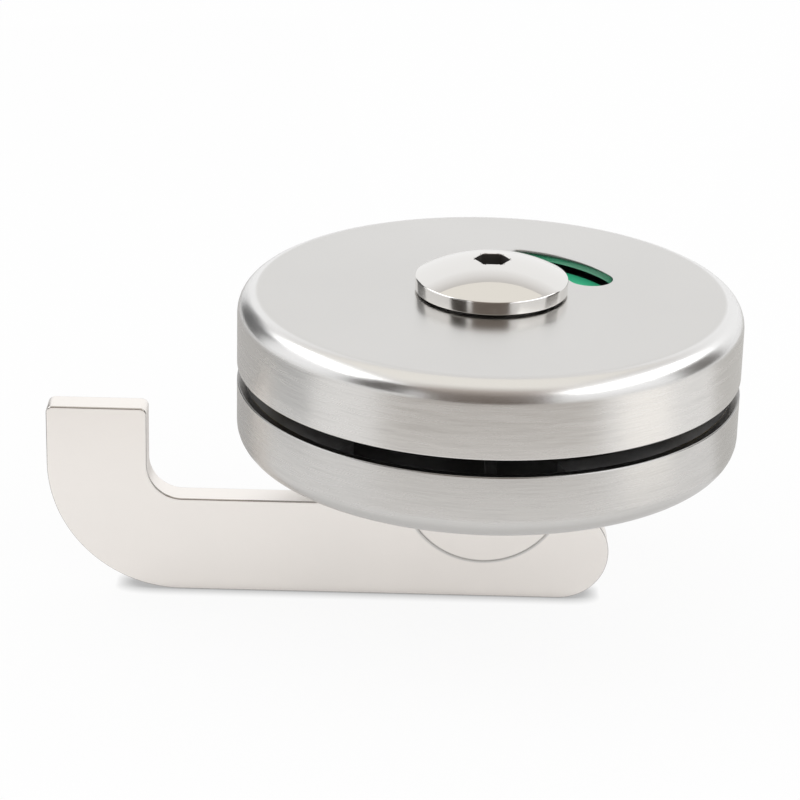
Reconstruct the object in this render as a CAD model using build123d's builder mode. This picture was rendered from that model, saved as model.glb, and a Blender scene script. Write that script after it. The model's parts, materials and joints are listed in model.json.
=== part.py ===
"""Indicator lock with a turn lever for a toilet or bathroom door, in millimetres.

The lever turns a square spindle that runs through the door to the outside rose. There it turns a
coloured disc behind a curved window, and a button with a key socket lets the lock be opened from outside.
The origin is on the spindle axis at the rim of the inside rose, which is the door's inside face.
+Z points out through the door, the lever points along -X, and +Y is away from the viewer.
"""
import os
from math import hypot
from math import sqrt

from build123d import *

os.makedirs("parts", exist_ok=True)

# Roses and the door between them
rose_diameter = 65.0
sheet = 1.2
cover_corner_radius = 3.0
inner_cover_height = 8.7
outer_cover_height = 9.8
rest_gap = 2.1
thickest_door = 13.0
slide_travel = thickest_door - rest_gap

# Clearances
running = 0.05
turning_gap = 0.3
seat = 0.05
pass_through = 0.3

# Cast bases that the covers snap over
base_wall = 3.9
base_rim_recess = 0.5
base_corner = 1.9
rib_count = 6
rib_width = 1.4
rib_height = 1.5
notch_start_angle = 232.0
notch_span = 55.0
notch_count = 2

# Through bolts and threaded posts
bolt_diameter = 3.9
thread_engagement = 3.0
bolt_head_diameter = 7.6
bolt_head_height = 2.2
bolt_key_width = 2.5
bolt_key_depth = 1.2
bolt_tip_chamfer = 0.4
bolt_seat_thickness = 1.3
thread_clearance = 0.08
post_diameter = 7.0
post_collar_diameter = 9.2
post_collar_height = 1.2
post_boss_wall = 2.0
post_edge_margin = 1.65

# Lever blade, a flat band bent once towards the door
blade_width = 13.1
blade_thickness = 3.8
blade_reach = 57.3
blade_tail = 16.7
blade_outer_bend = 17.7
blade_edge_radius = 0.5
blade_tip_corner = 0.9
blade_clearance_to_rose = 8.7
leg_gap_to_door = 4.8

# Lever hub, a round neck with a flat half-round tongue let into the blade
hub_diameter = 21.8
hub_neck_length = 7.6
hub_edge = 0.3
hub_bottom_radius = 1.0
tongue_diameter = 21.2
tongue_thickness = 4.6
tongue_edge = 0.3
tongue_centre_drop = 5.7
bearing_diameter = 16.0
hub_top_recess = 0.4
socket_floor = 0.8

# Bush, washer and ring that hold the hub in the inside base
bush_wall = 1.35
bush_flange_diameter = 23.0
bush_flange_thickness = 1.0
bush_proud = 0.1
boss_wall = 3.6
washer_thickness = 0.5
washer_width = 3.0
ring_thickness = 0.7
ring_groove_depth = 0.6
ring_proud = 1.3
ring_opening_angle = 60.0

# Square spindle and its grub screw
spindle_width = 6.0
spindle_end_chamfer = 0.5
grub_diameter = 4.0
grub_key_width = 2.0
grub_key_depth = 2.0
grub_recess = 0.5

# Detent: a sprung ball that holds the hub at each end of its turn
ball_diameter = 2.5
detent_turn = 90.0
dimple_depth = 0.7
dimple_count = 2
detent_bore_length = 9.2
detent_block_wall = 1.0
spring_wire = 0.35
spring_turns = 7

# Release button on the outside rose
button_diameter = 19.6
button_wall_height = 1.7
button_dome_rise = 2.6
button_edge_radius = 0.3
button_neck_diameter = 15.8
button_roof = 1.2
key_width = 4.05
key_depth = 2.8

# Release tube, indicator disc and window
tube_wall = 0.9
spindle_engagement = 6.45
tube_flange_diameter = 15.0
tube_flange_thickness = 0.8
release_bearing_length = 3.3
release_boss_wall = 3.7
disc_gap_to_posts = 4.0
disc_thickness = 0.8
disc_drop = 1.0
colour_thickness = 0.3
colour_margin = 0.1
colour_inner_diameter = 19.0
window_margin_in_disc = 0.3
window_gap_to_button = 1.6
window_start_angle = 24.5
window_span = 49.0
outer_floor_thickness = 1.6
outer_floor_drop = 0.7

# Heights worked out from the sizes above
cover_radius = rose_diameter / 2
cover_inner_radius = cover_radius - sheet
base_radius = cover_inner_radius - seat
base_bowl_radius = base_radius - base_wall
inner_face_z = -inner_cover_height
inner_under_z = inner_face_z + sheet
inner_base_top_z = -base_rim_recess
outer_rim_z = rest_gap
outer_face_z = outer_rim_z + outer_cover_height
outer_under_z = outer_face_z - sheet
outer_base_bottom_z = outer_rim_z + base_rim_recess

bolt_head_z = inner_under_z + running
bolt_seat_z = bolt_head_z + bolt_head_height
inner_floor_top_z = bolt_seat_z + bolt_seat_thickness
post_tip_z = inner_floor_top_z + pass_through
post_top_z = outer_under_z - running
bolt_tip_z = post_tip_z + slide_travel + thread_engagement
bolt_x = base_radius - post_collar_diameter / 2 - post_edge_margin

bearing_radius = bearing_diameter / 2
bush_bore_radius = bearing_radius + running
bush_radius = bush_bore_radius + bush_wall
bush_flange_top_z = inner_under_z + running + bush_flange_thickness
hub_shoulder_z = inner_face_z - turning_gap
hub_top_z = -hub_top_recess
hub_ring_top_z = hub_top_z - ring_groove_depth
hub_ring_z = hub_ring_top_z - ring_thickness
hub_washer_top_z = hub_ring_z - running
inner_boss_top_z = hub_washer_top_z - washer_thickness - running
hub_radius = hub_diameter / 2
hub_bottom_z = hub_shoulder_z - hub_neck_length
tongue_z = hub_shoulder_z - tongue_centre_drop
tongue_bottom_z = tongue_z - tongue_diameter / 2
spindle_bottom_z = hub_bottom_z + socket_floor

socket_width = spindle_width + 2 * running
tube_radius = hypot(socket_width, socket_width) / 2 + tube_wall

button_bottom_z = outer_face_z + turning_gap
button_shoulder_z = button_bottom_z + button_wall_height
button_top_z = button_shoulder_z + button_dome_rise
key_floor_z = button_top_z - key_depth
button_bore_top_z = key_floor_z - button_roof
tube_top_z = button_bore_top_z - running
spindle_top_z = tube_top_z - pass_through
tube_bottom_z = spindle_top_z - slide_travel - spindle_engagement
tube_bore_in_hub_radius = tube_radius + pass_through
tube_bore_in_hub_z = tube_bottom_z - 2 * pass_through
disc_radius = bolt_x - post_diameter / 2 - disc_gap_to_posts
window_outer_radius = disc_radius - window_margin_in_disc
window_inner_radius = button_diameter / 2 + window_gap_to_button
colour_top_z = outer_under_z - disc_drop
disc_top_z = colour_top_z - colour_thickness
disc_bottom_z = disc_top_z - disc_thickness
tube_flange_z = disc_bottom_z - tube_flange_thickness
outer_boss_top_z = tube_flange_z - running
outer_boss_bottom_z = outer_boss_top_z - release_bearing_length
release_washer_z = outer_boss_bottom_z - running - washer_thickness
release_ring_z = release_washer_z - running - ring_thickness
outer_floor_top_z = outer_boss_top_z - outer_floor_drop
outer_floor_z = outer_floor_top_z - outer_floor_thickness

blade_top_z = inner_face_z - blade_clearance_to_rose
blade_bottom_z = blade_top_z - blade_width
blade_tip_z = -leg_gap_to_door
bend_x = -blade_reach + blade_outer_bend
bend_z = blade_bottom_z + blade_outer_bend
grub_z = (hub_shoulder_z + hub_bottom_z) / 2
detent_z = (inner_boss_top_z + bush_flange_top_z) / 2
ball_centre_y = bearing_radius + running + ball_diameter / 2
detent_end_y = bush_radius + detent_bore_length
hex_corner = 2 / sqrt(3)


def ring_sector(inner_radius, outer_radius, start, span):
    """Flat piece of a ring, its angles in degrees from +X."""
    with BuildSketch() as sector:
        with BuildLine():
            outer_edge = CenterArc((0, 0), outer_radius, start, span)
            inner_edge = CenterArc((0, 0), inner_radius, start, span)
            Line(outer_edge @ 0, inner_edge @ 0)
            Line(outer_edge @ 1, inner_edge @ 1)
        make_face()
    return sector.sketch


def snap_ring(groove_radius, outer_radius):
    """Flat open ring, its mouth towards -Y."""
    mouth = 270 - ring_opening_angle / 2
    return ring_sector(groove_radius, outer_radius, mouth, ring_opening_angle - 360)


def rim_notches():
    """Gaps in the rim of a base, one in front and one behind."""
    notches = Sketch()
    for index in range(notch_count):
        turn = notch_start_angle + index * 360 / notch_count
        notches += ring_sector(base_bowl_radius, cover_radius, turn, notch_span)
    return notches


def save(piece, name):
    """Label one finished piece and write it."""
    piece.label = name
    export_step(piece, f"parts/{name}.step")


notch_faces = rim_notches()
bolt_places = [(-bolt_x, 0), (bolt_x, 0)]

# Inside rose: pressed cover
with BuildPart() as inner_cover:
    with BuildSketch(Plane.XY.offset(inner_face_z)):
        Circle(cover_radius)
    extrude(amount=inner_cover_height)
    fillet(inner_cover.edges().group_by(Axis.Z)[0], cover_corner_radius)
    offset(amount=-sheet, openings=inner_cover.faces().sort_by(Axis.Z)[-1])
    with BuildSketch(Plane.XY.offset(inner_face_z)):
        Circle(bush_radius + seat)
    extrude(amount=sheet, mode=Mode.SUBTRACT)
save(inner_cover.part, "inner_cover")

# Inside rose: cast base with floor, rim, hub boss, ribs and a block for the detent
with BuildPart() as inner_base:
    with BuildSketch(Plane.XY.offset(inner_under_z)):
        Circle(base_radius)
    extrude(amount=inner_base_top_z - inner_under_z)
    chamfer(inner_base.edges().group_by(Axis.Z)[0], base_corner)
    with BuildSketch(Plane.XY.offset(inner_under_z)):
        Circle(base_bowl_radius)
    extrude(amount=bolt_seat_z - inner_under_z, mode=Mode.SUBTRACT)
    with BuildSketch(Plane.XY.offset(inner_floor_top_z)):
        Circle(base_bowl_radius)
        add(notch_faces)
    extrude(amount=inner_base_top_z - inner_floor_top_z, mode=Mode.SUBTRACT)
    with BuildSketch(Plane.XY.offset(bush_flange_top_z)):
        Circle(bush_radius + seat + boss_wall)
    extrude(amount=inner_boss_top_z - bush_flange_top_z)
    with BuildSketch(Plane.XY.offset(inner_floor_top_z)):
        with PolarLocations(base_bowl_radius / 2, rib_count, start_angle=180 / rib_count):
            Rectangle(base_bowl_radius, rib_width)
    extrude(amount=rib_height)
    with BuildSketch(Plane.XY.offset(bush_flange_top_z)):
        with Locations((0, detent_end_y / 2)):
            Rectangle(ball_diameter + 2 * detent_block_wall, detent_end_y + 2 * detent_block_wall)
    extrude(amount=inner_boss_top_z - bush_flange_top_z)
    with BuildSketch(Plane.XY.offset(inner_floor_top_z)):
        with Locations(*bolt_places):
            Circle(post_diameter / 2 + pass_through)
    extrude(amount=inner_base_top_z - inner_floor_top_z, mode=Mode.SUBTRACT)
    with BuildSketch(Plane.XY.offset(inner_under_z)):
        with Locations(*bolt_places):
            Circle(bolt_head_diameter / 2 + pass_through)
    extrude(amount=bolt_seat_z - inner_under_z, mode=Mode.SUBTRACT)
    with BuildSketch(Plane.XY.offset(bolt_seat_z)):
        with Locations(*bolt_places):
            Circle(bolt_diameter / 2 + running)
    extrude(amount=bolt_seat_thickness, mode=Mode.SUBTRACT)
    with BuildSketch(Plane.XY.offset(inner_under_z)):
        Circle(bush_radius + seat)
    extrude(amount=inner_base_top_z - inner_under_z, mode=Mode.SUBTRACT)
    with BuildSketch(Plane.XZ.offset(-detent_end_y)):
        with Locations((0, detent_z)):
            Circle(ball_diameter / 2 + running)
    extrude(amount=detent_end_y - bearing_radius, mode=Mode.SUBTRACT)
save(inner_base.part, "inner_base")

# Inside rose: flanged bearing bush with a side hole for the detent ball
with BuildPart() as hub_bush:
    with BuildSketch(Plane.XY.offset(inner_face_z - bush_proud)):
        Circle(bush_radius)
    extrude(amount=inner_boss_top_z - running - inner_face_z + bush_proud)
    with BuildSketch(Plane.XY.offset(inner_under_z + running)):
        Circle(bush_flange_diameter / 2)
    extrude(amount=bush_flange_thickness - running)
    with BuildSketch(Plane.XY.offset(inner_face_z - bush_proud)):
        Circle(bush_bore_radius)
    extrude(amount=inner_cover_height, mode=Mode.SUBTRACT)
    with BuildSketch(Plane.XZ):
        with Locations((0, detent_z)):
            Circle(ball_diameter / 2 + running)
    extrude(amount=-hub_radius, mode=Mode.SUBTRACT)
save(hub_bush.part, "hub_bush")

# Inside rose: two button-head bolts that pull the roses together
with BuildPart() as through_bolts:
    with BuildSketch(Plane.XY.offset(bolt_seat_z)):
        with Locations(*bolt_places):
            Circle(bolt_diameter / 2)
    extrude(amount=bolt_tip_z - bolt_seat_z)
    chamfer(through_bolts.edges().group_by(Axis.Z)[-1], bolt_tip_chamfer)
    with BuildSketch(Plane.XY.offset(bolt_head_z)):
        with Locations(*bolt_places):
            Circle(bolt_head_diameter / 2)
    extrude(amount=bolt_head_height)
    fillet(through_bolts.edges().group_by(Axis.Z)[0], bolt_head_height / 2)
    with BuildSketch(Plane.XY.offset(bolt_head_z)):
        with Locations(*bolt_places):
            RegularPolygon(bolt_key_width / 2 * hex_corner, 6)
    extrude(amount=bolt_key_depth, mode=Mode.SUBTRACT)
save(through_bolts.part, "through_bolts")

# Inside rose: detent ball, drawn clear of the hub so that the hub can turn past it
with BuildPart() as detent_ball:
    with Locations((0, ball_centre_y, detent_z)):
        Sphere(ball_diameter / 2)
save(detent_ball.part, "detent_ball")

# Inside rose: detent spring between the ball and the end of its bore
spring_start_y = ball_centre_y + ball_diameter / 2 + spring_wire / 2 + running
spring_length = detent_end_y - spring_wire / 2 - running - spring_start_y
spring_radius = ball_diameter / 2 - spring_wire / 2 - running
with BuildPart() as detent_spring:
    with BuildLine() as coil:
        Helix(spring_length / spring_turns, spring_length, spring_radius,
              center=(0, spring_start_y, detent_z), direction=(0, 1, 0))
    with BuildSketch(Plane(origin=coil.line @ 0, z_dir=coil.line % 0)):
        Circle(spring_wire / 2)
    sweep(path=coil.line, is_frenet=True)
save(detent_spring.part, "detent_spring")

# Lever: flat blade with its end bent towards the door, notched for the tongue of the hub
with BuildPart() as lever_blade:
    with BuildSketch(Plane.XZ):
        with BuildLine():
            leg_inside_x = -blade_reach + blade_width
            tail_x = blade_tail - blade_width / 2
            Line((leg_inside_x, blade_tip_z), (leg_inside_x, bend_z))
            CenterArc((bend_x, bend_z), blade_outer_bend - blade_width, 180, 90)
            Line((bend_x, blade_top_z), (tail_x, blade_top_z))
            CenterArc((tail_x, blade_top_z - blade_width / 2), blade_width / 2, 90, -180)
            Line((tail_x, blade_bottom_z), (bend_x, blade_bottom_z))
            CenterArc((bend_x, bend_z), blade_outer_bend, 270, -90)
            Line((-blade_reach, bend_z), (-blade_reach, blade_tip_z))
            Line((-blade_reach, blade_tip_z), (leg_inside_x, blade_tip_z))
        tip_face = make_face()
        fillet(tip_face.vertices().group_by(Axis.Y)[-1], blade_tip_corner)
    extrude(amount=blade_thickness / 2, both=True)
    fillet(lever_blade.faces().filter_by(Axis.Y).edges(), blade_edge_radius)
    with BuildSketch(Plane.XZ):
        with Locations((0, tongue_z)):
            Circle(tongue_diameter / 2 + seat)
    extrude(amount=blade_thickness / 2, both=True, mode=Mode.SUBTRACT)
save(lever_blade.part, "lever_blade")

# Lever: hub with bearing, ring groove, bore for the release tube, square socket and tongue
with BuildPart() as lever_hub:
    with BuildSketch(Plane.XZ):
        with BuildLine():
            Line((0, hub_top_z), (bearing_radius, hub_top_z))
            Line((bearing_radius, hub_top_z), (bearing_radius, hub_shoulder_z))
            Line((bearing_radius, hub_shoulder_z), (hub_radius - hub_edge, hub_shoulder_z))
            Line((hub_radius - hub_edge, hub_shoulder_z), (hub_radius, hub_shoulder_z - hub_edge))
            Line((hub_radius, hub_shoulder_z - hub_edge), (hub_radius, hub_bottom_z))
            Line((hub_radius, hub_bottom_z), (0, hub_bottom_z))
            Line((0, hub_bottom_z), (0, hub_top_z))
        make_face()
    revolve(axis=Axis.Z)
    fillet(lever_hub.edges().group_by(Axis.Z)[0], hub_bottom_radius)
    with BuildSketch(Plane.XZ):
        with Locations((0, tongue_z)):
            Circle(tongue_diameter / 2)
        with Locations((0, tongue_z + tongue_diameter / 2)):
            Rectangle(tongue_diameter, tongue_diameter, mode=Mode.SUBTRACT)
    extrude(amount=tongue_thickness / 2, both=True)
    with BuildSketch(Plane.XY.offset(tube_bore_in_hub_z)):
        Circle(tube_bore_in_hub_radius)
    extrude(amount=hub_top_z - tube_bore_in_hub_z, mode=Mode.SUBTRACT)
    with BuildSketch(Plane.XY.offset(spindle_bottom_z)):
        Rectangle(socket_width, socket_width)
    extrude(amount=tube_bore_in_hub_z - spindle_bottom_z, mode=Mode.SUBTRACT)
    with BuildSketch(Plane.XY.offset(hub_ring_z)):
        Circle(bearing_radius)
        Circle(bearing_radius - ring_groove_depth, mode=Mode.SUBTRACT)
    extrude(amount=ring_thickness, mode=Mode.SUBTRACT)
    dimple_radius = bearing_radius + ball_diameter / 2 - dimple_depth
    with PolarLocations(dimple_radius, dimple_count, start_angle=90 - detent_turn,
                        angular_range=detent_turn, endpoint=True):
        with Locations((0, 0, detent_z)):
            Sphere(ball_diameter / 2, mode=Mode.SUBTRACT)
    with BuildSketch(Plane.XZ.offset(-hub_radius)):
        with Locations((0, grub_z)):
            Circle(grub_diameter / 2 + running)
    extrude(amount=hub_radius, mode=Mode.SUBTRACT)
    tongue_rims = lever_hub.edges().filter_by(GeomType.CIRCLE).filter_by(
        lambda edge: edge.bounding_box().min.Z < tongue_bottom_z + tongue_edge)
    chamfer(tongue_rims, tongue_edge)
save(lever_hub.part, "lever_hub")

# Lever: square spindle
with BuildPart() as spindle:
    with BuildSketch(Plane.XY.offset(spindle_bottom_z)):
        Rectangle(spindle_width, spindle_width)
    extrude(amount=spindle_top_z - spindle_bottom_z)
    ends = spindle.faces().filter_by(Axis.Z)
    chamfer(ends.edges(), spindle_end_chamfer)
save(spindle.part, "spindle")

# Lever: grub screw at the back of the hub that holds the spindle
grub_length = hub_radius - grub_recess - spindle_width / 2 - running
with BuildPart() as spindle_grub_screw:
    with BuildSketch(Plane.XZ.offset(-spindle_width / 2 - running)):
        with Locations((0, grub_z)):
            Circle(grub_diameter / 2)
    extrude(amount=-grub_length)
    chamfer(spindle_grub_screw.edges().filter_by(GeomType.CIRCLE), spindle_end_chamfer)
    with BuildSketch(Plane.XZ.offset(grub_recess - hub_radius)):
        with Locations((0, grub_z)):
            RegularPolygon(grub_key_width / 2 * hex_corner, 6)
    extrude(amount=grub_key_depth, mode=Mode.SUBTRACT)
save(spindle_grub_screw.part, "spindle_grub_screw")

# Lever: washer between the snap ring and the base
with BuildPart() as hub_washer:
    with BuildSketch(Plane.XY.offset(hub_washer_top_z - washer_thickness)):
        Circle(bearing_radius + running + washer_width)
        Circle(bearing_radius + running, mode=Mode.SUBTRACT)
    extrude(amount=washer_thickness)
save(hub_washer.part, "hub_washer")

# Lever: snap ring in the groove of the hub
hub_ring_face = snap_ring(bearing_radius - ring_groove_depth, bearing_radius + ring_proud)
with BuildPart() as hub_snap_ring:
    with BuildSketch(Plane.XY.offset(hub_ring_z)):
        add(hub_ring_face)
    extrude(amount=ring_thickness)
save(hub_snap_ring.part, "hub_snap_ring")

# Outside rose: pressed cover with a curved window and a hole for the button's neck
window_width = window_outer_radius - window_inner_radius
window_path = CenterArc((0, 0), window_inner_radius + window_width / 2, window_start_angle, window_span)
with BuildPart() as outer_cover:
    with BuildSketch(Plane.XY.offset(outer_rim_z)):
        Circle(cover_radius)
    extrude(amount=outer_cover_height)
    fillet(outer_cover.edges().group_by(Axis.Z)[-1], cover_corner_radius)
    offset(amount=-sheet, openings=outer_cover.faces().sort_by(Axis.Z)[0])
    with BuildSketch(Plane.XY.offset(outer_under_z)):
        Circle(button_neck_diameter / 2 + running)
        SlotArc(window_path, height=window_width)
    extrude(amount=sheet, mode=Mode.SUBTRACT)
save(outer_cover.part, "outer_cover")

# Outside rose: cast base with floor, rim, bearing boss, ribs and bosses for the posts
with BuildPart() as outer_base:
    with BuildSketch(Plane.XY.offset(outer_base_bottom_z)):
        Circle(base_radius)
    extrude(amount=outer_under_z - outer_base_bottom_z)
    chamfer(outer_base.edges().group_by(Axis.Z)[-1], base_corner)
    with BuildSketch(Plane.XY.offset(outer_base_bottom_z)):
        Circle(base_bowl_radius)
        add(notch_faces)
    extrude(amount=outer_floor_z - outer_base_bottom_z, mode=Mode.SUBTRACT)
    with BuildSketch(Plane.XY.offset(outer_floor_top_z)):
        Circle(base_bowl_radius)
    extrude(amount=outer_under_z - outer_floor_top_z, mode=Mode.SUBTRACT)
    with BuildSketch(Plane.XY.offset(outer_boss_bottom_z)):
        Circle(tube_radius + running + release_boss_wall)
    extrude(amount=outer_boss_top_z - outer_boss_bottom_z)
    with BuildSketch(Plane.XY.offset(outer_floor_z)):
        with PolarLocations(base_bowl_radius / 2, rib_count, start_angle=180 / rib_count):
            Rectangle(base_bowl_radius, rib_width)
        with Locations(*bolt_places):
            Circle(post_diameter / 2 + post_boss_wall)
    extrude(amount=outer_boss_bottom_z - outer_floor_z)
    with BuildSketch(Plane.XY.offset(outer_floor_top_z)):
        with Locations(*bolt_places):
            Circle(post_collar_diameter / 2 + seat)
    extrude(amount=outer_under_z - outer_floor_top_z, mode=Mode.SUBTRACT)
    with BuildSketch(Plane.XY.offset(outer_base_bottom_z)):
        with Locations(*bolt_places):
            Circle(post_diameter / 2 + seat)
        Circle(tube_radius + running)
    extrude(amount=outer_under_z - outer_base_bottom_z, mode=Mode.SUBTRACT)
save(outer_base.part, "outer_base")

# Outside rose: collared posts that take the bolts
with BuildPart() as threaded_posts:
    with BuildSketch(Plane.XY.offset(post_tip_z)):
        with Locations(*bolt_places):
            Circle(post_diameter / 2)
    extrude(amount=post_top_z - post_tip_z)
    chamfer(threaded_posts.edges().group_by(Axis.Z)[0], bolt_tip_chamfer)
    with BuildSketch(Plane.XY.offset(outer_floor_top_z)):
        with Locations(*bolt_places):
            Circle(post_collar_diameter / 2)
    extrude(amount=post_collar_height)
    with BuildSketch(Plane.XY.offset(post_tip_z)):
        with Locations(*bolt_places):
            Circle(bolt_diameter / 2 + thread_clearance)
    extrude(amount=post_top_z - post_tip_z, mode=Mode.SUBTRACT)
save(threaded_posts.part, "threaded_posts")

# Release: domed button with a neck through the cover and a key socket
with BuildPart() as release_button:
    with BuildSketch(Plane.XZ):
        with BuildLine():
            Line((0, disc_top_z), (button_neck_diameter / 2, disc_top_z))
            Line((button_neck_diameter / 2, disc_top_z), (button_neck_diameter / 2, button_bottom_z))
            Line((button_neck_diameter / 2, button_bottom_z), (button_diameter / 2, button_bottom_z))
            Line((button_diameter / 2, button_bottom_z), (button_diameter / 2, button_shoulder_z))
            TangentArc((0, button_top_z), (button_diameter / 2, button_shoulder_z), tangent=(1, 0))
            Line((0, button_top_z), (0, disc_top_z))
        make_face()
    revolve(axis=Axis.Z)
    rim = release_button.edges().filter_by(GeomType.CIRCLE).filter_by(
        lambda edge: abs(edge.center().Z - button_shoulder_z) < running)
    fillet(rim, button_edge_radius)
    with BuildSketch(Plane.XY.offset(key_floor_z)):
        RegularPolygon(key_width / 2 * hex_corner, 6)
    extrude(amount=key_depth, mode=Mode.SUBTRACT)
    with BuildSketch(Plane.XY.offset(disc_top_z)):
        Circle(tube_radius + seat)
    extrude(amount=button_bore_top_z - disc_top_z, mode=Mode.SUBTRACT)
save(release_button.part, "release_button")

# Release: tube that slides on the spindle and carries the disc and the button
with BuildPart() as release_tube:
    with BuildSketch(Plane.XY.offset(tube_bottom_z)):
        Circle(tube_radius)
    extrude(amount=tube_top_z - tube_bottom_z)
    with BuildSketch(Plane.XY.offset(tube_flange_z)):
        Circle(tube_flange_diameter / 2)
    extrude(amount=tube_flange_thickness)
    with BuildSketch(Plane.XY.offset(release_ring_z)):
        Circle(tube_radius)
        Circle(tube_radius - ring_groove_depth, mode=Mode.SUBTRACT)
    extrude(amount=ring_thickness, mode=Mode.SUBTRACT)
    with BuildSketch(Plane.XY.offset(tube_bottom_z)):
        Rectangle(socket_width, socket_width)
    extrude(amount=tube_top_z - tube_bottom_z, mode=Mode.SUBTRACT)
save(release_tube.part, "release_tube")

# Release: indicator disc
with BuildPart() as indicator_disc:
    with BuildSketch(Plane.XY.offset(disc_bottom_z)):
        Circle(disc_radius)
        Circle(tube_radius + seat, mode=Mode.SUBTRACT)
    extrude(amount=disc_thickness)
save(indicator_disc.part, "indicator_disc")

# Release: green and red quarters on the disc, green behind the window at rest
window_middle = window_start_angle + window_span / 2
green_start = window_middle - detent_turn / 2
colour_starts = {"green_sector": green_start, "red_sector": green_start - detent_turn}
for colour_name, colour_start in colour_starts.items():
    colour_face = ring_sector(colour_inner_diameter / 2, disc_radius - colour_margin, colour_start, detent_turn)
    with BuildPart() as colour_sector:
        with BuildSketch(Plane.XY.offset(disc_top_z)):
            add(colour_face)
        extrude(amount=colour_thickness)
    save(colour_sector.part, colour_name)

# Release: washer and snap ring under the bearing of the tube
with BuildPart() as release_washer:
    with BuildSketch(Plane.XY.offset(release_washer_z)):
        Circle(tube_radius + running + washer_width)
        Circle(tube_radius + running, mode=Mode.SUBTRACT)
    extrude(amount=washer_thickness)
save(release_washer.part, "release_washer")

release_ring_face = snap_ring(tube_radius - ring_groove_depth, tube_radius + ring_proud)
with BuildPart() as release_snap_ring:
    with BuildSketch(Plane.XY.offset(release_ring_z)):
        add(release_ring_face)
    extrude(amount=ring_thickness)
save(release_snap_ring.part, "release_snap_ring")
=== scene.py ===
# %% [markdown]
# # A toilet door's indicator lock in brushed, satin and polished metal
#
# The lock has two round pressed covers whose rims face each other, where a door panel goes between them.
# The outside one carries a domed key button and a curved window with a green disc behind it. The inside one
# carries a flat lever whose end is bent back towards the door. The shapes are few and smooth, so the likeness
# lies in the rims, the rounded edges and the finishes, and in what the metals reflect.

# %% Load the fixed frame
import json
from math import acos
from math import cos
from math import pi
from math import radians
from math import sin
from math import sqrt

import bmesh
import bpy
from mathutils import Matrix
from mathutils import Vector


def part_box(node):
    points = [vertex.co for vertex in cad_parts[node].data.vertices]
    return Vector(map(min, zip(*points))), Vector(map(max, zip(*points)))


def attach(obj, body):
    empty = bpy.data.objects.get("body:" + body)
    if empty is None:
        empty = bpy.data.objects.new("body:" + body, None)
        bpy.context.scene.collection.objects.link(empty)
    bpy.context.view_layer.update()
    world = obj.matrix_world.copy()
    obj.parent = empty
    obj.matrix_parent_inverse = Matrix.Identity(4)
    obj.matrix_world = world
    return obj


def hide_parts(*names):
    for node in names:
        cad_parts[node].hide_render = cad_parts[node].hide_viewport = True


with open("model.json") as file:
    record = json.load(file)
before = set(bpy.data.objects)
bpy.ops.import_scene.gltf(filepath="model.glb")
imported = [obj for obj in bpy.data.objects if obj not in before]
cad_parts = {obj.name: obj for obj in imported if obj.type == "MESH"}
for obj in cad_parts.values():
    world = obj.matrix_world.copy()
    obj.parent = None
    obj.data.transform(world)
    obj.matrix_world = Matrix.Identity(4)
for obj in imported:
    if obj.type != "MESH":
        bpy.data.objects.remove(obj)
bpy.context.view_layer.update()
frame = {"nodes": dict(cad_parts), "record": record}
NODES = frame["nodes"]
MM = 0.001

# %% [markdown]
# ## Where things are
#
# Heights and radii are read from the boxes of the CAD pieces, so a changed part takes the whole scene with it.
# Only sizes that no box gives, such as a corner's radius, are written as numbers, next to the piece they shape.

# %% Read the main sizes from the frame
def low(node):
    """Lowest corner of a CAD piece."""
    return Vector(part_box(node)[0])


def high(node):
    """Highest corner of a CAD piece."""
    return Vector(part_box(node)[1])


ROSE_RADIUS = high("outer_cover").x
OUTER_FACE = high("outer_cover").z
OUTER_RIM = low("outer_cover").z
INNER_RIM = high("inner_cover").z
INNER_FACE = low("inner_cover").z
SHEET = OUTER_FACE - high("outer_base").z
TABLE = low("lever_blade").z
print("rose radius", round(ROSE_RADIUS / MM, 2), "sheet", round(SHEET / MM, 2), "mm")

# %% [markdown]
# ## The camera
#
# The photograph looks down at 22 degrees from a little over a third of a metre away, through a lens that is long
# for such a small thing. The rims' ellipses gave the angle, the distance and a small roll of the camera. The
# lens follows from its focal length in pixels over the picture's width in pixels.

# %% Set the camera
PICTURE_PIXELS = 800
FOCAL_PIXELS = 2950
SENSOR = 36.0
CAMERA_PLACE = Vector((-11.34, -355.83, 140.10)) * MM
CAMERA_PITCH = radians(21.97)
CAMERA_ROLL = radians(1.43)

lens = bpy.data.cameras.new("photo_camera")
lens.sensor_width = SENSOR
lens.lens = FOCAL_PIXELS * SENSOR / PICTURE_PIXELS
lens.clip_start = 0.01
camera = bpy.data.objects.new("photo_camera", lens)
bpy.context.scene.collection.objects.link(camera)
heading = Matrix.Rotation(pi / 2 - CAMERA_PITCH, 4, "X")
camera.matrix_world = Matrix.Translation(CAMERA_PLACE) @ heading @ Matrix.Rotation(CAMERA_ROLL, 4, "Z")
bpy.context.scene.camera = camera
bpy.context.scene.view_settings.view_transform = "Standard"
print("lens", round(lens.lens, 1), "mm")

# %% [markdown]
# ## Turned shapes
#
# The covers, the button and the bolts' heads are all round one axis, so each is one outline turned round it. The
# Screw modifier or bmesh's spin could do this too. A Geometry Nodes tree was chosen because it rounds every
# corner of the outline by its own radius first, and one tree with named inputs then serves every turned piece.
#
# The outline is a wire of straight lines in the XZ plane, each point with a radius for its corner. The tree
# lays it flat, fillets it, and sweeps it round a circle. Curve to Mesh puts the outline's X outwards from that
# circle and its Y downwards, so the tree takes the circle's radius from X and turns Z over.

# %% Helpers for node trees
def add_node(tree, kind, **settings):
    """Add a node with plain attributes set on it."""
    node = tree.nodes.new(kind)
    for name, value in settings.items():
        setattr(node, name, value)
    return node


def feed(tree, socket, value):
    """Give a socket a link or a constant."""
    if isinstance(value, bpy.types.NodeSocket):
        tree.links.new(value, socket)
    else:
        socket.default_value = value


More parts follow.
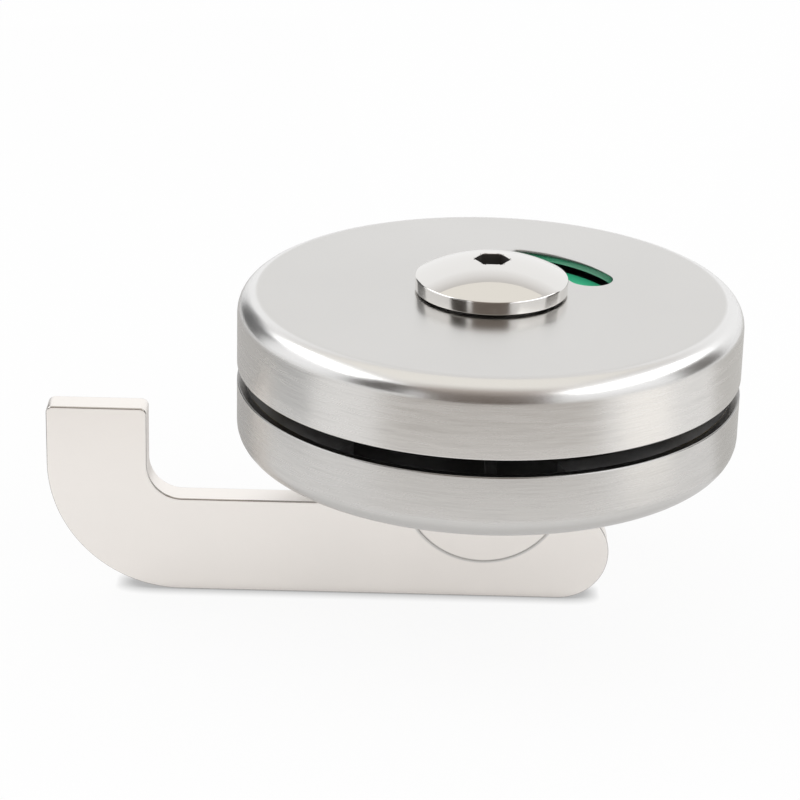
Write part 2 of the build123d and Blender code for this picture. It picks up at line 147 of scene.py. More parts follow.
def calculate(tree, operation, *values):
    """One Math node on sockets or constants."""
    node = add_node(tree, "ShaderNodeMath", operation=operation)
    for index, value in enumerate(values):
        feed(tree, node.inputs[index], value)
    return node.outputs[0]


def start_tree(name, sizes):
    """A Geometry Nodes tree with a mesh in and out, and these named inputs beside it."""
    tree = bpy.data.node_groups.new(name, "GeometryNodeTree")
    tree.interface.new_socket("Geometry", in_out="INPUT", socket_type="NodeSocketGeometry")
    for label, kind in sizes:
        tree.interface.new_socket(label, in_out="INPUT", socket_type=kind)
    tree.interface.new_socket("Geometry", in_out="OUTPUT", socket_type="NodeSocketGeometry")
    return tree, add_node(tree, "NodeGroupInput").outputs


def end_tree(tree, mesh, material):
    """Close a tree with Realize Instances and Set Material."""
    realize = add_node(tree, "GeometryNodeRealizeInstances")
    paint = add_node(tree, "GeometryNodeSetMaterial")
    tree.links.new(mesh, realize.inputs["Geometry"])
    tree.links.new(realize.outputs["Geometry"], paint.inputs["Geometry"])
    tree.links.new(material, paint.inputs["Material"])
    tree.links.new(paint.outputs["Geometry"], add_node(tree, "NodeGroupOutput").inputs[0])


def as_mesh(piece):
    """Turn an object with modifiers into one with a plain mesh of the same shape."""
    depsgraph = bpy.context.evaluated_depsgraph_get()
    plain = bpy.data.meshes.new_from_object(piece.evaluated_get(depsgraph))
    plain.name = piece.name
    piece.modifiers.clear()
    piece.data = plain
    return piece


def run_tree(piece, tree, values):
    """Run a tree on an object with its named inputs set, and keep the result as a plain mesh."""
    modifier = piece.modifiers.new(tree.name, "NODES")
    modifier.node_group = tree
    for item in tree.interface.items_tree:
        if item.in_out == "INPUT" and item.name in values:
            modifier[item.identifier] = values[item.name]
    return as_mesh(piece)


# %% The tree that turns an outline
def turning_tree():
    """A tree that rounds a wire's corners and turns it round the Z axis."""
    tree, given = start_tree("turned_outline", [
        ("Circle radius", "NodeSocketFloat"), ("Segments", "NodeSocketInt"), ("Corner steps", "NodeSocketInt"),
        ("Merge distance", "NodeSocketFloat"), ("Material", "NodeSocketMaterial"),
    ])
    place = add_node(tree, "ShaderNodeSeparateXYZ")
    feed(tree, place.inputs[0], add_node(tree, "GeometryNodeInputPosition").outputs[0])
    flat = add_node(tree, "ShaderNodeCombineXYZ")
    feed(tree, flat.inputs[0], calculate(tree, "SUBTRACT", place.outputs[0], given["Circle radius"]))
    feed(tree, flat.inputs[1], calculate(tree, "MULTIPLY", place.outputs[2], -1.0))
    lay = add_node(tree, "GeometryNodeSetPosition")
    feed(tree, lay.inputs["Geometry"], given["Geometry"])
    feed(tree, lay.inputs["Position"], flat.outputs[0])
    wire = add_node(tree, "GeometryNodeMeshToCurve")
    feed(tree, wire.inputs["Mesh"], lay.outputs[0])
    corner = add_node(tree, "GeometryNodeInputNamedAttribute", data_type="FLOAT")
    corner.inputs["Name"].default_value = "corner"
    rounded = add_node(tree, "GeometryNodeFilletCurve", mode="POLY")
    feed(tree, rounded.inputs["Curve"], wire.outputs[0])
    feed(tree, rounded.inputs["Count"], given["Corner steps"])
    feed(tree, rounded.inputs["Radius"], corner.outputs[0])
    circle = add_node(tree, "GeometryNodeCurvePrimitiveCircle")
    feed(tree, circle.inputs["Resolution"], given["Segments"])
    feed(tree, circle.inputs["Radius"], given["Circle radius"])
    sweep = add_node(tree, "GeometryNodeCurveToMesh")
    feed(tree, sweep.inputs["Curve"], circle.outputs[0])
    feed(tree, sweep.inputs["Profile Curve"], rounded.outputs[0])
    weld = add_node(tree, "GeometryNodeMergeByDistance")
    feed(tree, weld.inputs["Geometry"], sweep.outputs[0])
    feed(tree, weld.inputs["Distance"], given["Merge distance"])
    end_tree(tree, weld.outputs[0], given["Material"])
    return tree


TURNING = turning_tree()
print("turning tree has", len(TURNING.nodes), "nodes")

# %% [markdown]
# ## Clean meshes with true edges
#
# Polished and brushed metal shows every fault of its shading. Each finished mesh therefore has its doubles
# merged, its normals turned outwards, its sharp edges marked by their angle, and its normals weighted by the
# size of the faces, so that large flat faces stay flat beside small rounded edges.

# %% Helpers for meshes
MERGE = 0.0005 * MM
SHARP_ANGLE = radians(38)
ROUND_STEPS = 192
CORNER_STEPS = 8


def new_piece(name, points, edges=(), faces=()):
    """A mesh object in the scene, its place in its mesh."""
    mesh = bpy.data.meshes.new(name)
    mesh.from_pydata([Vector(p) for p in points], list(edges), list(faces))
    piece = bpy.data.objects.new(name, mesh)
    bpy.context.scene.collection.objects.link(piece)
    return piece


def clean(piece, shell=True):
    """Merge doubles and turn the faces outwards."""
    work = bmesh.new()
    work.from_mesh(piece.data)
    bmesh.ops.remove_doubles(work, verts=work.verts, dist=MERGE)
    bmesh.ops.dissolve_degenerate(work, edges=work.edges, dist=MERGE)
    if shell:
        bmesh.ops.recalc_face_normals(work, faces=work.faces)
    work.to_mesh(piece.data)
    work.free()
    return piece


def shade(piece):
    """Smooth shading with sharp edges by angle and face-weighted normals."""
    piece.data.shade_smooth()
    piece.data.set_sharp_from_angle(angle=SHARP_ANGLE)
    weights = piece.modifiers.new("weights", "WEIGHTED_NORMAL")
    weights.keep_sharp = True
    return as_mesh(piece)


def dress(piece, material):
    """Give a piece one material."""
    piece.data.materials.clear()
    piece.data.materials.append(material)
    return piece


def turned(name, outline, material, closed=True, segments=ROUND_STEPS):
    """Turn an outline of (radius, height, corner radius) points round the Z axis."""
    count = len(outline)
    edges = [(i, i + 1) for i in range(count - 1)]
    if closed:
        edges.append((count - 1, 0))
    piece = new_piece(name, [(radius, 0, height) for radius, height, _ in outline], edges)
    corners = piece.data.attributes.new("corner", "FLOAT", "POINT")
    for index, (_, _, corner) in enumerate(outline):
        corners.data[index].value = corner
    run_tree(piece, TURNING, {"Circle radius": ROSE_RADIUS, "Segments": segments, "Corner steps": CORNER_STEPS,
                              "Merge distance": MERGE, "Material": material})
    return clean(piece)


def prism(name, outline, bottom, top):
    """A closed upright prism over an outline of (x, y) points."""
    count = len(outline)
    points = [(x, y, bottom) for x, y in outline] + [(x, y, top) for x, y in outline]
    sides = [(i, (i + 1) % count, (i + 1) % count + count, i + count) for i in range(count)]
    caps = [list(range(count))[::-1], list(range(count, 2 * count))]
    return clean(new_piece(name, points, (), sides + caps))


def cut(piece, tool):
    """Cut one mesh out of another, and delete the tool."""
    knife = piece.modifiers.new("cut", "BOOLEAN")
    knife.operation = "DIFFERENCE"
    knife.solver = "EXACT"
    knife.object = tool
    as_mesh(piece)
    bpy.data.objects.remove(tool)
    return piece


def soften(piece, width, steps, angle):
    """Round the edges that turn by more than an angle."""
    rounding = piece.modifiers.new("rounding", "BEVEL")
    rounding.width = width
    rounding.segments = steps
    rounding.limit_method = "ANGLE"
    rounding.angle_limit = angle
    rounding.use_clamp_overlap = False
    return as_mesh(piece)


def place(piece, body, slot, *nodes):
    """Say which body a piece rides on and which CAD pieces it stands for; the slot is not used."""
    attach(piece, body)
    if nodes:
        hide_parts(*nodes)
    box = [Vector(corner) for corner in piece.bound_box]
    size = [round((max(c[i] for c in box) - min(c[i] for c in box)) / MM, 1) for i in range(3)]
    print(piece.name, "faces", len(piece.data.polygons), "size in mm", size)

# %% [markdown]
# ## How the finishes are made
#
# Each finish is a small graph round one Principled shader. Colour, roughness and bump come from noise read in
# Object coordinates, which stay on the metal when it turns or is looked at from elsewhere. Numbers that are the
# same all over a finish are set straight on the shader's own sockets.

# %% Helpers for finishes
def start_finish(name, colour, metallic, roughness):
    """A material with one Principled shader."""
    material = bpy.data.materials.new(name)
    material.use_nodes = True
    tree = material.node_tree
    shader = tree.nodes["Principled BSDF"]
    shader.inputs["Base Color"].default_value = (*colour, 1.0)
    shader.inputs["Metallic"].default_value = metallic
    shader.inputs["Roughness"].default_value = roughness
    return material, tree, shader


def noise(tree, vector, scale, detail=3.0, w=None):
    """Noise between about 0 and 1 on a vector, and on a fourth number where one is given."""
    node = add_node(tree, "ShaderNodeTexNoise", noise_dimensions="3D" if w is None else "4D")
    node.inputs["Scale"].default_value = scale
    node.inputs["Detail"].default_value = detail
    feed(tree, node.inputs["Vector"], vector)
    if w is not None:
        feed(tree, node.inputs["W"], w)
    return node.outputs["Fac"]


def ramp(tree, factor, *stops):
    """A colour ramp through (position, colour) stops."""
    node = add_node(tree, "ShaderNodeValToRGB")
    while len(node.color_ramp.elements) < len(stops):
        node.color_ramp.elements.new(0.5)
    for element, (position, colour) in zip(node.color_ramp.elements, stops):
        element.position = position
        element.color = (*colour, 1.0)
    feed(tree, node.inputs["Fac"], factor)
    return node.outputs["Color"]


def mix(tree, factor, first, second):
    """Blend two numbers."""
    node = add_node(tree, "ShaderNodeMix", data_type="FLOAT")
    feed(tree, node.inputs["Factor"], factor)
    feed(tree, node.inputs["A"], first)
    feed(tree, node.inputs["B"], second)
    return node.outputs["Result"]


def blend(tree, factor, first, second):
    """Blend two colours."""
    node = add_node(tree, "ShaderNodeMix", data_type="RGBA")
    feed(tree, node.inputs["Factor"], factor)
    feed(tree, node.inputs[6], first)
    feed(tree, node.inputs[7], second)
    return node.outputs[2]


def span(tree, value, start, end):
    """A number that goes smoothly from 0 at start to 1 at end."""
    node = add_node(tree, "ShaderNodeMapRange", interpolation_type="SMOOTHSTEP")
    feed(tree, node.inputs["Value"], value)
    node.inputs["From Min"].default_value = start
    node.inputs["From Max"].default_value = end
    return node.outputs["Result"]


def raise_surface(tree, height, strength, distance, shader):
    """Bump from a height."""
    node = add_node(tree, "ShaderNodeBump")
    node.inputs["Strength"].default_value = strength
    node.inputs["Distance"].default_value = distance
    feed(tree, node.inputs["Height"], height)
    tree.links.new(node.outputs["Normal"], shader.inputs["Normal"])


def surface_place(tree):
    """The place of the surface in the frame, in metres."""
    return add_node(tree, "ShaderNodeTexCoord").outputs["Object"]


def darker(colour, share):
    """A colour times a share."""
    return tuple(c * share for c in colour)


# %% [markdown]
# ## Brushed steel
#
# The wall of a cover is brushed while it spins, so its scratches run level round the axis, short and a little
# wavy. The face is only satined and shows no direction. Plain coordinates would draw the scratches straight
# across, and an angle would leave a seam at half a turn, so the pattern reads the cosine and sine of the angle,
# stretched little, with the height stretched much. A slow noise added to the height makes the lines sway.
#
# The surface's own normal says where the wall turns into the face. The corner between them is painted paler
# than either, a painted sheen, and the underside is painted darker, a painted shade. Two places are painted a
# dark grey that is partly the raw grey of cut sheet and partly painted shade: the rim that faces up, in the gap
# between the covers, and the walls of the window. The inside cover was photographed a little darker, so its wall
# has a darker tone in a second material from the same function, a painted shade on a copy of the same steel.

# %% The brushed steel of the covers
SCRATCH_LENGTH = 8.0
SCRATCH_FINENESS = 7000.0
SCRATCH_SWAY = 1.3
BROAD_LENGTH = 0.6
BROAD_FINENESS = 0.28
WINDOW_REACH = 19.0 * MM
RIM_REACH = 0.5 * MM
CUT_SHEET_AND_SHADE = (0.30, 0.295, 0.29)
PAINTED_CORNER_SHEEN = (0.81, 0.805, 0.80)
WINDOW_WALL_AND_SHADE = 0.55
PAINTED_UNDERSIDE_SHADE = 0.90


def distance_from_axis(tree, place):
    """How far a place is from the Z axis."""
    parts = add_node(tree, "ShaderNodeSeparateXYZ")
    feed(tree, parts.inputs[0], place)
    x, y, _ = parts.outputs
    squares = calculate(tree, "ADD", calculate(tree, "MULTIPLY", x, x), calculate(tree, "MULTIPLY", y, y))
    return calculate(tree, "SQRT", squares)


def round_axis(tree, along, across, wander=0.0):
    """A vector that changes slowly round the Z axis and quickly along it, with the radius for a fourth number."""
    place = add_node(tree, "ShaderNodeSeparateXYZ")
    feed(tree, place.inputs[0], surface_place(tree))
    x, y, z = place.outputs
    radius = calculate(tree, "MAXIMUM", distance_from_axis(tree, surface_place(tree)), MERGE)
    vector = add_node(tree, "ShaderNodeCombineXYZ")
    feed(tree, vector.inputs[0], calculate(tree, "MULTIPLY", calculate(tree, "DIVIDE", x, radius), along))
    feed(tree, vector.inputs[1], calculate(tree, "MULTIPLY", calculate(tree, "DIVIDE", y, radius), along))
    feed(tree, vector.inputs[2], calculate(tree, "MULTIPLY_ADD", z, across, wander))
    return vector.outputs[0], calculate(tree, "MULTIPLY", radius, across)


def brushed_steel(name, face, wall):
    """Steel with a satin face and a wall brushed round the axis."""
    material, tree, shader = start_finish(name, face, 1.0, 0.3)
    normal = add_node(tree, "ShaderNodeSeparateXYZ")
    feed(tree, normal.inputs[0], add_node(tree, "ShaderNodeTexCoord").outputs["Normal"])
    on_wall = span(tree, calculate(tree, "ABSOLUTE", normal.outputs[2]), 0.45, 0.03)
    place = surface_place(tree)
    # walls near the axis, as in the window, are painted darker: partly raw cut sheet, partly painted shade
    near_axis = span(tree, distance_from_axis(tree, place), WINDOW_REACH, 0.95 * WINDOW_REACH)
    in_window = calculate(tree, "MULTIPLY", on_wall, near_axis)
    spot = add_node(tree, "ShaderNodeSeparateXYZ")
    feed(tree, spot.inputs[0], place)
    # the rim that faces up is painted dark grey: partly raw cut sheet, partly painted shade in the gap between
    # the covers
    at_rim = span(tree, calculate(tree, "ABSOLUTE", spot.outputs[2]), RIM_REACH, 0.6 * RIM_REACH)
    on_rim = calculate(tree, "MULTIPLY", at_rim, span(tree, normal.outputs[2], 0.2, 0.7))
    sway = calculate(tree, "MULTIPLY", noise(tree, place, 260.0, 1.0), SCRATCH_SWAY)
    fine_vector, fine_radius = round_axis(tree, SCRATCH_LENGTH, SCRATCH_FINENESS, sway)
    broad_vector, broad_radius = round_axis(tree, SCRATCH_LENGTH * BROAD_LENGTH,
                                            SCRATCH_FINENESS * BROAD_FINENESS, sway)
    fine = noise(tree, fine_vector, 1.0, 2.0, fine_radius)
    broad = noise(tree, broad_vector, 1.0, 3.0, broad_radius)
    scratches = mix(tree, 0.5, fine, broad)
    grain = noise(tree, place, 5200.0, 2.0)
    cloud = noise(tree, place, 70.0, 3.0)
    height = mix(tree, on_wall, grain, scratches)
    satin_tone = ramp(tree, cloud, (0.30, darker(face, 0.975)), (0.70, face))
    wall_tone = ramp(tree, scratches, (0.34, darker(wall, 0.92)), (0.50, wall), (0.66, darker(wall, 1.04)))
    tone = blend(tree, on_wall, satin_tone, wall_tone)
    # painted sheen: the corner between wall and face is painted paler
    on_corner = calculate(tree, "MULTIPLY", span(tree, normal.outputs[2], 0.10, 0.40),
                          span(tree, normal.outputs[2], 0.998, 0.960))
    tone = blend(tree, on_corner, tone, (*PAINTED_CORNER_SHEEN, 1.0))
    # painted shade: faces that turn downwards are painted darker
    below = span(tree, normal.outputs[2], -0.05, -0.50)
    tone = blend(tree, below, tone, (*darker(wall, PAINTED_UNDERSIDE_SHADE), 1.0))
    tone = blend(tree, on_rim, tone, (*CUT_SHEET_AND_SHADE, 1.0))
    tone = blend(tree, in_window, tone, (*darker(face, WINDOW_WALL_AND_SHADE), 1.0))
    tree.links.new(tone, shader.inputs["Base Color"])
    satin = mix(tree, on_wall, calculate(tree, "MULTIPLY_ADD", cloud, 0.05, 0.22),
                calculate(tree, "MULTIPLY_ADD", broad, 0.18, 0.17))
    tree.links.new(satin, shader.inputs["Roughness"])
    raise_surface(tree, height, 0.16, 0.02 * MM, shader)
    shader.inputs["Anisotropic"].default_value = 0.3
    around = add_node(tree, "ShaderNodeTangent", direction_type="RADIAL", axis="Z")
    tree.links.new(around.outputs[0], shader.inputs["Tangent"])
    return material


SATIN_FACE = (0.67, 0.66, 0.645)
BRUSHED_WALL = (0.70, 0.685, 0.665)
# painted shade: the inside cover's wall is a darker copy of the same steel
INNER_SHADE_SHARE = 0.87
STEEL = brushed_steel("brushed_steel", SATIN_FACE, BRUSHED_WALL)
INNER_STEEL_SHADED = brushed_steel("brushed_steel_inner_shaded", SATIN_FACE, darker(BRUSHED_WALL, INNER_SHADE_SHARE))
print("brushed steel has", len(STEEL.node_tree.nodes), "nodes")

# %% [markdown]
# ## Satin nickel
#
# The lever is blasted and plated, warmer and paler than the covers. It has no scratch direction, only a very
# fine grain, and slow clouds in its colour and gloss where the plating varies. Its rounded edges are smoother,
# and painted darker, a painted dark reflection and shade; the normal finds them, because there it points neither
# straight out of the flat side nor straight out of the rim. A thin band round the seam of the tongue, found by
# its distance from the tongue's middle, is greyer than the sides.

# %% The satin nickel of the lever
PAINTED_RIM_SHADE = (0.60, 0.58, 0.56)
SEAM_TONE = (0.66, 0.645, 0.63)
SEAM_REACH = 0.42 * MM
SEAM_CORE = 0.4
SEAM_SIDE = (1.35, 1.25)
TONGUE_RADIUS = 10.6 * MM
TONGUE_Z = low("lever_hub").z + TONGUE_RADIUS
PLATE_SIDE = high("lever_blade").y


def satin_nickel(name, colour):
    """Plated metal with a fine even grain."""
    material, tree, shader = start_finish(name, colour, 1.0, 0.36)
    place = surface_place(tree)
    grain = noise(tree, place, 8000.0, 2.0)
    cloud = noise(tree, place, 60.0, 3.0)
    normal = add_node(tree, "ShaderNodeSeparateXYZ")
    feed(tree, normal.inputs[0], add_node(tree, "ShaderNodeTexCoord").outputs["Normal"])
    outward = calculate(tree, "ABSOLUTE", normal.outputs[1])
    # painted dark reflection and shade: the rounded rims are painted darker
    on_rim = calculate(tree, "MULTIPLY", span(tree, outward, 0.05, 0.35), span(tree, outward, 0.98, 0.80))
    plain = ramp(tree, cloud, (0.3, darker(colour, 0.965)), (0.7, colour))
    spot = add_node(tree, "ShaderNodeSeparateXYZ")
    feed(tree, spot.inputs[0], place)
    # a thin band round the tongue's seam is greyer than the sides
    rise = calculate(tree, "SUBTRACT", spot.outputs[2], TONGUE_Z)
    squares = calculate(tree, "ADD", calculate(tree, "MULTIPLY", spot.outputs[0], spot.outputs[0]),
                        calculate(tree, "MULTIPLY", rise, rise))
    from_seam = calculate(tree, "SUBTRACT", calculate(tree, "SQRT", squares), TONGUE_RADIUS)
    seam = span(tree, calculate(tree, "ABSOLUTE", from_seam), SEAM_REACH, SEAM_CORE * SEAM_REACH)
    depth = calculate(tree, "DIVIDE", calculate(tree, "ABSOLUTE", spot.outputs[1]), PLATE_SIDE)
    on_side = span(tree, depth, *SEAM_SIDE)
    on_side = calculate(tree, "MULTIPLY", on_side, span(tree, outward, 0.45, 0.60))
    seam = calculate(tree, "MULTIPLY", seam, on_side)
    tone = blend(tree, on_rim, plain, (*PAINTED_RIM_SHADE, 1.0))
    tree.links.new(blend(tree, seam, tone, (*SEAM_TONE, 1.0)), shader.inputs["Base Color"])
    gloss = calculate(tree, "MULTIPLY_ADD", cloud, 0.10, calculate(tree, "MULTIPLY_ADD", grain, 0.05, 0.24))
    tree.links.new(mix(tree, on_rim, gloss, 0.16), shader.inputs["Roughness"])
    raise_surface(tree, grain, 0.14, 0.02 * MM, shader)
    return material


NICKEL = satin_nickel("satin_nickel", (0.97, 0.93, 0.89))

# %% [markdown]
# ## Polished steel
#
# The button is buffed to a mirror, but a pressed and buffed dome is never optically true. Slow waves bend its
# reflections a little, and faint wiping marks break its gloss. The key socket was broached before the button was
# buffed. Below the socket's mouth the finish is painted near black, a painted shade in the recess.

# %% The mirror finish of the button
SOCKET_SHADE = (0.15, 0.144, 0.138)
SOCKET_REACH = 2.4 * MM
SOCKET_EDGE = 0.1 * MM
SOCKET_MOUTH = high("release_button").z - 0.22 * MM


def polished_steel(name, colour):
    """Mirror polish with slow waves."""
    material, tree, shader = start_finish(name, colour, 1.0, 0.05)
    place = surface_place(tree)
    marks = noise(tree, place, 900.0, 3.0)
    spot = add_node(tree, "ShaderNodeSeparateXYZ")
    feed(tree, spot.inputs[0], place)
    across = distance_from_axis(tree, place)
    # painted shade: inside the key socket the colour is near black
    in_socket = calculate(tree, "MULTIPLY", span(tree, across, SOCKET_REACH * 1.03, SOCKET_REACH * 0.99),
                          span(tree, spot.outputs[2], SOCKET_MOUTH, SOCKET_MOUTH - SOCKET_EDGE))
    tree.links.new(blend(tree, in_socket, (*colour, 1.0), (*SOCKET_SHADE, 1.0)), shader.inputs["Base Color"])
    polish = calculate(tree, "MULTIPLY_ADD", span(tree, marks, 0.45, 0.80), 0.08, 0.03)
    tree.links.new(mix(tree, in_socket, polish, 0.6), shader.inputs["Roughness"])
    raise_surface(tree, noise(tree, place, 170.0, 1.0), 0.30, 0.10 * MM, shader)
    return material


POLISH = polished_steel("polished_steel", (0.80, 0.785, 0.765))

# %% [markdown]
# ## Castings, hardware, plastic and paint
#
# Through the gap between the rims and through the window the eye reaches the castings and the painted disc. A
# casting is dull and pebbled, with stains. Turned and plated hardware has lathe rings. Gloss paint has a slight
# orange peel, and moulded acetal a fine matt skin.

# %% The finishes inside
def cast_metal(name, colour):
    """The pebbled skin of a die casting."""
    material, tree, shader = start_finish(name, colour, 0.8, 0.55)
    place = surface_place(tree)
    stain = noise(tree, place, 110.0, 4.0)
    tree.links.new(ramp(tree, stain, (0.35, darker(colour, 0.6)), (0.65, colour)), shader.inputs["Base Color"])
    raise_surface(tree, noise(tree, place, 2400.0, 4.0), 0.5, 0.08 * MM, shader)
    return material


def turned_metal(name, colour, roughness):
    """Lathe rings round the Z axis."""
    material, tree, shader = start_finish(name, colour, 1.0, roughness)
    vector, radius = round_axis(tree, 1.5, 5200.0)
    rings = noise(tree, vector, 1.0, 2.0, radius)
    tree.links.new(ramp(tree, rings, (0.35, darker(colour, 0.82)), (0.65, colour)), shader.inputs["Base Color"])
    raise_surface(tree, rings, 0.25, 0.03 * MM, shader)
    return material


def gloss_paint(name, colour):
    """Gloss paint with orange peel."""
    material, tree, shader = start_finish(name, colour, 0.0, 0.30)
    place = surface_place(tree)
    tone = noise(tree, place, 300.0, 2.0)
    tree.links.new(ramp(tree, tone, (0.3, darker(colour, 0.85)), (0.7, colour)), shader.inputs["Base Color"])
    raise_surface(tree, noise(tree, place, 1500.0, 2.0), 0.15, 0.04 * MM, shader)
    shader.inputs["Coat Weight"].default_value = 0.5
    return material


def moulded_plastic(name, colour):
    """Acetal with a fine moulded skin."""
    material, tree, shader = start_finish(name, colour, 0.0, 0.45)
    skin = noise(tree, surface_place(tree), 4200.0, 2.0)
    tree.links.new(calculate(tree, "MULTIPLY_ADD", skin, 0.12, 0.38), shader.inputs["Roughness"])
    raise_surface(tree, skin, 0.2, 0.03 * MM, shader)
    return material


FINISHES = {
    "brushed_steel": STEEL,
    "satin_nickel": NICKEL,
    "polished_steel": POLISH,
    "zinc_casting": cast_metal("zinc_casting", (0.42, 0.42, 0.425)),
    "bolt_steel": turned_metal("bolt_steel", (0.62, 0.62, 0.63), 0.28),
    "black_steel": turned_metal("black_steel", (0.05, 0.05, 0.055), 0.38),
    "brass": turned_metal("brass", (0.76, 0.58, 0.28), 0.26),
    "acetal": moulded_plastic("acetal", (0.82, 0.82, 0.80)),
    "disc_aluminium": turned_metal("disc_aluminium", (0.70, 0.70, 0.71), 0.34),
    "green_paint": gloss_paint("green_paint", (0.07, 0.72, 0.38)),
    "red_paint": gloss_paint("red_paint", (0.55, 0.018, 0.02)),
}
SLOT_OF = {entry["node"]: entry["material_slot"] for entry in frame["record"]["subparts"]}
BODY_OF = {node: body for body, nodes in frame["record"]["behaviour"]["bodies"].items() for node in nodes}
print("finishes", len(FINISHES), "for", len(SLOT_OF), "pieces")

# %% [markdown]
# ## The two pressed covers
#
# Each cover is a cup of 1.2 mm sheet: a flat face, a rounded corner and a straight wall. Both are turned from an
# outline that goes round the sheet's section, with the corner's radius outside and the same radius less the sheet
# inside. The cut edges of the rim and of the hole are broken by a very small radius, which draws the fine line
# of light that a real edge has.

# %% Outline of a cover and the inner cover
CORNER = 3.0 * MM
CUT_EDGE = 0.22 * MM


def cover_outline(face, rim, hole):
    """Section of a cover, from its face to its rim, as (radius, height, corner radius) points."""
    inwards = SHEET if rim > face else -SHEET
    inside = ROSE_RADIUS - SHEET
    return [
        (hole, face, CUT_EDGE), (ROSE_RADIUS, face, CORNER), (ROSE_RADIUS, rim, CUT_EDGE),
        (inside, rim, CUT_EDGE), (inside, face + inwards, CORNER - SHEET), (hole, face + inwards, CUT_EDGE),
    ]


BUSH_HOLE = 9.45 * MM
inner_cover = turned("inner_cover_sheet", cover_outline(INNER_FACE, INNER_RIM, BUSH_HOLE), INNER_STEEL_SHADED)
shade(inner_cover)
place(inner_cover, "inner_rose", "brushed_steel", "inner_cover")

# %% [markdown]
# ## The outer cover and its window
#
# The window is a slot bent round the axis, with round ends. Its sides are two arcs about the axis and its ends
# are half circles, so its outline is worked out as arcs, made a prism and cut out of the turned cover. A bevel
# limited by angle then rounds only the new sharp edges, because the turned ones are round already.

# %% Cut the window
WINDOW_OUTER = 17.2 * MM
WINDOW_INNER = 11.4 * MM
WINDOW_START = radians(24.5)
WINDOW_SPAN = radians(49)
WINDOW_EDGE = 0.15 * MM
NECK_HOLE = 7.95 * MM


def arc_points(centre, radius, start, end, steps):
    """Points on an arc from one angle to another, both ends in."""
    turns = [start + (end - start) * i / steps for i in range(steps + 1)]
    return [(centre[0] + radius * cos(turn), centre[1] + radius * sin(turn)) for turn in turns]


def bent_slot(outer, inner, start, swing):
    """Outline of a slot bent round the axis, with half-round ends."""
    middle, half = (outer + inner) / 2, (outer - inner) / 2
    end = start + swing
    outline = arc_points((0, 0), outer, start, end, 48)
    outline += arc_points((middle * cos(end), middle * sin(end)), half, end, end + pi, 24)[1:-1]
    outline += arc_points((0, 0), inner, end, start, 48)
    outline += arc_points((middle * cos(start), middle * sin(start)), half, start + pi, start + 2 * pi, 24)[1:-1]
    return outline


outer_cover = turned("outer_cover_sheet", cover_outline(OUTER_FACE, OUTER_RIM, NECK_HOLE), STEEL)
window = bent_slot(WINDOW_OUTER, WINDOW_INNER, WINDOW_START, WINDOW_SPAN)
cut(outer_cover, prism("window_tool", window, OUTER_FACE - 2 * SHEET, OUTER_FACE + SHEET))
soften(outer_cover, WINDOW_EDGE, 2, radians(60))
shade(outer_cover)
place(outer_cover, "outer_rose", "brushed_steel", "outer_cover")

# %% [markdown]
# ## The key button
#
# A disc with a shallow dome, a low wall and a neck that goes through the cover, hollow below for the tube. The
# dome is part of a sphere, so its outline is worked out from its rise and its radius rather than drawn. Enough
# steps matter here more than anywhere else: a mirror shows each flat. The key socket is a hexagonal prism cut
# into the top, its mouth broken by a small bevel.

# %% The button
BUTTON_RADIUS = high("release_button").x
BUTTON_TOP = high("release_button").z
BUTTON_FOOT = low("release_button").z
BUTTON_GAP = 0.3 * MM
BUTTON_WALL = 1.7 * MM
BUTTON_EDGE = 0.25 * MM
BUTTON_LIP = 0.12 * MM
NECK_RADIUS = 7.9 * MM
BUTTON_BORE = 5.263 * MM
KEY_ACROSS = 4.05 * MM
KEY_DEPTH = 2.8 * MM
BUTTON_ROOF = 1.2 * MM
DOME_STEPS = 40

button_bottom = OUTER_FACE + BUTTON_GAP
shoulder = button_bottom + BUTTON_WALL
bore_top = BUTTON_TOP - KEY_DEPTH - BUTTON_ROOF
rise = BUTTON_TOP - shoulder
sphere = (BUTTON_RADIUS ** 2 + rise ** 2) / (2 * rise)
dome = []
for step in range(1, DOME_STEPS + 1):
    radius = BUTTON_RADIUS * (1 - step / DOME_STEPS)
    dome.append((radius, BUTTON_TOP - sphere + sqrt(sphere ** 2 - radius ** 2), 0))
button_outline = [
    (0, bore_top, 0), (BUTTON_BORE, bore_top, BUTTON_LIP), (BUTTON_BORE, BUTTON_FOOT, BUTTON_LIP),
    (NECK_RADIUS, BUTTON_FOOT, BUTTON_LIP), (NECK_RADIUS, button_bottom, BUTTON_LIP),
    (BUTTON_RADIUS, button_bottom, BUTTON_LIP), (BUTTON_RADIUS, shoulder, BUTTON_EDGE),
] + dome
button = turned("key_button", button_outline, POLISH, closed=False)
hexagon = arc_points((0, 0), KEY_ACROSS / sqrt(3), 0, 2 * pi, 6)[:-1]
cut(button, prism("key_tool", hexagon, BUTTON_TOP - KEY_DEPTH, BUTTON_TOP + KEY_DEPTH))
soften(button, BUTTON_LIP, 2, radians(70))
shade(button)
place(button, "release", "polished_steel", "release_button")
print("dome's sphere has a radius of", round(sphere / MM, 2), "mm")

# %% [markdown]
# ## The lever's blade
#
# On the real lock this is a flat bar, bent once and rounded at its tail, with a round notch where the hub's
# tongue is let in. A curve with a bevel could sweep the bar, but the two flat sides are what the eye sees, so
# the outline is drawn once from its arcs, given its thickness, and its rims are rounded. The notch keeps a
# sharper edge, because the tongue closes it: a bevel weight on each edge says how much it is rounded.

# %% The blade
BLADE_WIDTH = 13.1 * MM
OUTER_BEND = 17.7 * MM
TIP_CORNER = 0.9 * MM
BLADE_EDGE = 0.24 * MM
NOTCH_SHARE = 0.4
NOTCH_GAP = 0.02 * MM
BEND_STEPS = 48
TIP_STEPS = 10

